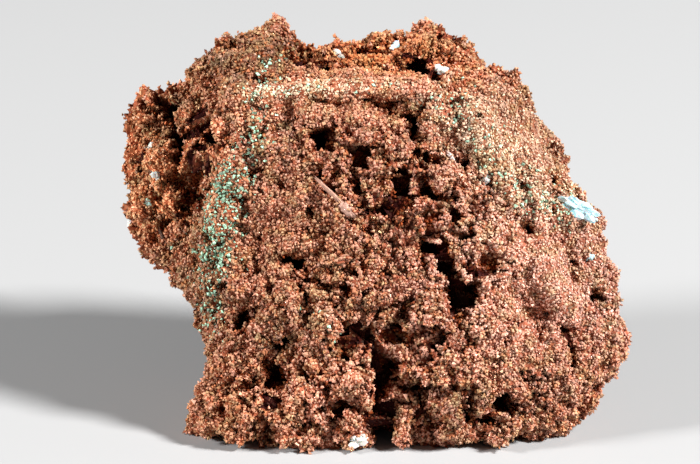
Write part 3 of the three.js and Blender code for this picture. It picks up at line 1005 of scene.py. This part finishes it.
def patch_axes(tree, centre, slope, halves):
    """The middle of a patch on the crust and its three half axes."""
    for inward in np.linspace(0, 0.2, 21):
        spot = Vector(centre).lerp(Vector((0, 15)), inward)
        hit = tree.ray_cast(on_lean(*spot, 20), -OUT_LEAN, 30 * MM)[0]
        if hit is not None:
            break
    else:
        raise RuntimeError(f"no copper under the patch at {centre}")
    level = lean_places(np.array([hit]))[2][0]
    along = Vector((1, 0, 0)) * math.cos(slope) + UP_LEAN * math.sin(slope)
    axes = [along, OUT_LEAN.cross(along), OUT_LEAN]
    return on_lean(*spot, level), [axis * half * MM for axis, half in zip(axes, halves)]


# ---- operators ----

FULL_SKY = 0.55  # with this share of open sky a crystal's colour is painted fully lit
CALM_FALL = 0.75  # how much less the crystals stand up on calm ground


class NUGGET_OT_copper_mass(bpy.types.Operator):
    """Make the copper mass: the skin that the crystals grow on"""

    bl_idname = "nugget.copper_mass"
    bl_label = "Copper Mass"

    def execute(self, context):
        settings = context.scene.nugget_copper
        bm = bmesh.new()
        bm.from_mesh(frame["nodes"][COPPER_NODE].data)
        bmesh.ops.remove_doubles(bm, verts=bm.verts, dist=0.001 * MM)
        add_crest(bm)
        mesh = remeshed(mesh_of(bm, "solid"), settings.voxel)
        largest_shell(mesh)
        roughened(mesh, settings)
        colour_skin(mesh, sky_seen(mesh), settings)
        put_attribute(mesh, "region", "INT", "FACE", regions_of(mesh))
        put_attribute(mesh, "outward", "FLOAT_VECTOR", "POINT", normals_of(mesh))
        # painted shade: the mass shows only in the gaps between the crystals, so its tint is
        # darkened here
        material = copper_material("copper_under_crust", (0.48, 0.26, 0.185), 0.4, 0.6, 0.8)
        mass = new_piece("copper_mass", mesh, material)
        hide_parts(COPPER_NODE)
        return {"FINISHED"}


def colour_skin(mesh, seen, settings):
    """Store the copper's tint with its painted shade, a share of painted light from the open sky
    and its shares of specks.
    """
    places = places_of(mesh)
    across, up, out = lean_places(places)
    tint = np.ones((len(seen), 4))
    tint[:, :3] = copper_tones(mesh, seen, settings)
    put_attribute(mesh, "tint", "FLOAT_COLOR", "POINT", tint)
    crowding = np.clip((seen + 0.14) / 0.3, 0.5, 1)
    tree = tree_of(mesh)
    for node in GRAIN_NODES:
        place, axes = grain_axes(tree, node)
        gap = np.zeros(len(places))
        for axis in axes:
            gap += ((places - np.array(place)) @ np.array(axis) / axis.length_squared) ** 2
        crowding[gap < GRAIN_GROUND] = 0
    for name, shares in {
        # painted light: the share of open sky, which darkens the crystals' colours in the hollows
        "light": np.clip(seen / FULL_SKY, 0.1, 1),
        "stand": 1 - CALM_FALL * calm_share(across, up, out),
        "crowding": crowding,
        "green": band_share(GREEN_BANDS, across, up, out),
        "pale": band_share(PALE_BANDS, across, up, out),
    }.items():
        put_attribute(mesh, name, "FLOAT", "POINT", shares)


class NUGGET_OT_crystal_crust(bpy.types.Operator):
    """Scatter the copper crystals over the mass, one piece for each region"""

    bl_idname = "nugget.crystal_crust"
    bl_label = "Crystal Crust"

    def execute(self, context):
        settings = context.scene.nugget_copper
        mass = bpy.data.objects["copper_mass"]
        forms = crystal_collection()
        material = copper_material("copper_crystals", (1, 1, 0.98), 0.45, 0.55, 0.82)
        for number, region in enumerate(REGIONS):
            at_back = region == "back"
            spacing = settings.back_spacing if at_back else settings.front_spacing
            tree = crust_tree(mass, forms, number, spacing, settings)
            holder = linked("holder", bpy.data.meshes.new("holder"))
            holder.modifiers.new("crust", "NODES").node_group = tree
            mesh = baked_mesh(holder)
            bpy.data.objects.remove(holder)
            if not mesh.polygons:
                raise RuntimeError(f"no crystals grew on the {region}")
            new_piece(f"crystals_{region}", mesh, material)
        for form in list(forms.objects):
            bpy.data.objects.remove(form)
        bpy.data.collections.remove(forms)
        return {"FINISHED"}


# Smooth blades of copper that lie on the crust: start and end on the lean plane, width,
# thickness, colour.
BLADES = (
    ((-4.4, 22.0), (-2.0, 19.6), 0.34, 0.6, (0.46, 0.26, 0.19)),
    ((-2.5, 20.1), (-1.6, 19.1), 0.7, 0.6, (0.52, 0.31, 0.24)),
    ((5.9, 24.2), (6.5, 23.4), 0.32, 0.2, (0.66, 0.58, 0.54)),
    ((-17.3, 18.0), (-16.7, 16.5), 0.3, 0.2, (0.09, 0.05, 0.035)),
)
BLADE_LIFT_MM = 0.06  # how far a blade lies above the crust's copper


class NUGGET_OT_copper_blades(bpy.types.Operator):
    """Lay the smooth blades of copper on the crust"""

    bl_idname = "nugget.copper_blades"
    bl_label = "Copper Blades"

    def execute(self, context):
        tree = tree_of(bpy.data.objects["copper_mass"].data)
        bm = bmesh.new()
        layer = bm.verts.layers.float_color.new("tint")
        for start, end, width, thickness, tint in BLADES:
            verts = bmesh.ops.create_icosphere(bm, subdivisions=3, radius=0.5)["verts"]
            self.lay(tree, verts, start, end, width, thickness)
            for vertex in verts:
                vertex[layer] = (*tint, 1)
        bmesh.ops.recalc_face_normals(bm, faces=bm.faces)
        soften(bm)
        material = copper_material("copper_blade", (1, 1, 1), 0.5, 0.45, 0.7)
        new_piece("copper_blades", mesh_of(bm, "copper_blades"), material)
        return {"FINISHED"}

    def lay(self, tree, verts, start, end, width, thickness):
        """Stretch a ball into a blade from start to end, level with the crust between them."""
        start, end = Vector(start), Vector(end)
        levels = []
        for share in np.linspace(0, 1, 9):
            above = on_lean(*start.lerp(end, share), 20)
            hit = tree.ray_cast(above, -OUT_LEAN)[0]
            if hit is None:
                raise RuntimeError(f"no copper under the blade at {start}")
            levels.append(lean_places(np.array([hit]))[2][0])
        level = float(np.percentile(levels, 80)) + BLADE_LIFT_MM
        run = end - start
        aside = Vector((-run.y, run.x)).normalized()
        for vertex in verts:
            blunt = vertex.co * (1 + 0.9 * noise.noise(vertex.co * 6 + Vector(start.to_3d())))
            flat = max(-0.3, min(0.3, blunt.z)) * thickness
            spot = start.lerp(end, 0.5) + run * blunt.x + aside * blunt.y * width
            vertex.co = on_lean(spot.x, spot.y, level + flat)


class NUGGET_OT_mineral_grains(bpy.types.Operator):
    """Make the mineral grains that sit in the copper"""

    bl_idname = "nugget.mineral_grains"
    bl_label = "Mineral Grains"

    def execute(self, context):
        settings = context.scene.nugget_mineral
        tree = tree_of(bpy.data.objects["copper_mass"].data)
        materials = {
            look: mineral_material(f"{look}_grain", getattr(settings, look), stain_and_shade)
            for look, stain_and_shade in MINERAL_STAINS.items()}
        for number, node in enumerate(GRAIN_NODES):
            look = GRAIN_LOOKS.get(node, "white")
            mesh = self.grain_mesh(tree, node, number)
            piece = new_piece(f"{node}_crystals", mesh, materials[look])
            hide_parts(node)
        return {"FINISHED"}

    def grain_mesh(self, tree, node, number):
        """A cluster of sharp-cornered crystals at the place of one grain."""
        middle, axes = grain_axes(tree, node)
        count = GRAIN_CRYSTALS[axes[0].length > BIG_GRAIN]
        draw = random.Random(100 + number)
        bm = bmesh.new()
        for i in range(count):
            size = draw.uniform(0.32, 0.55) if i else 0.7
            shift = Vector([draw.uniform(-0.6, 0.6) for _ in range(3)]) if i else Vector()
            corners = []
            for _ in range(16):
                way = Vector([draw.gauss(0, 1) for _ in range(3)]).normalized()
                place = way * size * draw.uniform(0.92, 1.0) + shift
                corners.append(bm.verts.new(
                    middle + axes[0] * place.x + axes[1] * place.y + axes[2] * place.z))
            made = bmesh.ops.convex_hull(bm, input=corners)
            loose = [v for v in made["geom_interior"] if isinstance(v, bmesh.types.BMVert)]
            bmesh.ops.delete(bm, geom=loose, context="VERTS")
        bmesh.ops.recalc_face_normals(bm, faces=bm.faces)
        return mesh_of(bm, node + "_crystals")


# The lamps: name, way from the nugget, distance and size in metres, power in watts.
LAMPS = (
    ("key", (0.72, -0.24, 0.66), 0.9, 0.18, 21.0),
    ("left", (-0.92, -0.22, 0.45), 0.9, 0.20, 12.5),
    ("fill", (0.0, -0.9, 0.5), 0.6, 0.5, 0.05),
)
SKY_COLOUR = (0.9, 0.94, 1, 1)
SKY_STRENGTH = 0.04
FLOOR_REACH = 1.2  # metres from the nugget to the floor's edge
FIELD_WIDTH = 56 * MM  # how wide a field the camera sees at the nugget
SENSOR_MM = 36


class NUGGET_OT_stage(bpy.types.Operator):
    """Make the floor, the soft lights and the camera"""

    bl_idname = "nugget.stage"
    bl_label = "Stage"

    def execute(self, context):
        settings = context.scene.nugget_stage
        scene = context.scene
        bm = bmesh.new()
        bmesh.ops.create_grid(bm, x_segments=1, y_segments=1, size=FLOOR_REACH)
        floor = linked("floor", mesh_of(bm, "floor"))
        material, wire = plain_material("pale_floor")
        surface = wire.add("ShaderNodeBsdfPrincipled", {
            "Base Color": (*settings.floor, 1), "Roughness": 0.7})
        wire.add("ShaderNodeOutputMaterial", {"Surface": surface.outputs["BSDF"]})
        floor.data.materials.append(material)

        world = bpy.data.worlds.new("studio")
        world.use_nodes = True
        sky = world.node_tree.nodes["Background"].inputs
        sky["Color"].default_value = SKY_COLOUR
        sky["Strength"].default_value = SKY_STRENGTH
        scene.view_settings.view_transform = "Standard"
        scene.world = world

        middle = on_lean(0, 17, 0)
        for name, way, distance, size, power in LAMPS:
            light = bpy.data.lights.new(name, "AREA")
            light.shape = "DISK"
            light.size = size
            light.energy = power
            lamp = linked(name, light)
            lamp.location = middle + Vector(way).normalized() * distance
            lamp.rotation_euler = (middle - lamp.location).to_track_quat("-Z", "Y").to_euler()

        camera_data = bpy.data.cameras.new("camera")
        camera_data.lens = settings.lens
        camera_data.sensor_width = SENSOR_MM
        camera_data.clip_start = 0.01
        camera = linked("camera", camera_data)
        target = on_lean(-1.8, 17.84, 4)
        distance = FIELD_WIDTH * settings.lens / camera_data.sensor_width
        camera.location = target + OUT_LEAN * distance
        camera.rotation_euler = (-OUT_LEAN).to_track_quat("-Z", "Y").to_euler()
        scene.camera = camera
        return {"FINISHED"}


class NUGGET_PT_panel(bpy.types.Panel):
    """Lists the steps that build the nugget"""

    bl_idname = "NUGGET_PT_panel"
    bl_label = "Native Copper Nugget"
    bl_space_type = "VIEW_3D"
    bl_region_type = "UI"
    bl_category = "Nugget"

    def draw(self, context):
        for group in ("nugget_copper", "nugget_mineral", "nugget_stage"):
            settings = getattr(context.scene, group)
            for name in settings.__annotations__:
                self.layout.prop(settings, name)
        for operator in OPERATORS:
            self.layout.operator(operator.bl_idname)


OPERATORS = (
    NUGGET_OT_copper_mass, NUGGET_OT_crystal_crust, NUGGET_OT_copper_blades,
    NUGGET_OT_mineral_grains, NUGGET_OT_stage)
GROUPS = {
    "nugget_copper": CopperSettings,
    "nugget_mineral": MineralSettings,
    "nugget_stage": StageSettings,
}


def register():
    for kind in (*GROUPS.values(), *OPERATORS, NUGGET_PT_panel):
        bpy.utils.register_class(kind)
    for name, kind in GROUPS.items():
        setattr(bpy.types.Scene, name, bpy.props.PointerProperty(type=kind))


def unregister():
    for name in GROUPS:
        delattr(bpy.types.Scene, name)
    for kind in (NUGGET_PT_panel, *reversed(OPERATORS), *reversed(GROUPS.values())):
        bpy.utils.unregister_class(kind)


def main():
    register()
    bpy.ops.nugget.copper_mass()
    bpy.ops.nugget.crystal_crust()
    bpy.ops.nugget.copper_blades()
    bpy.ops.nugget.mineral_grains()
    bpy.ops.nugget.stage()


if __name__ == "__main__":
    main()
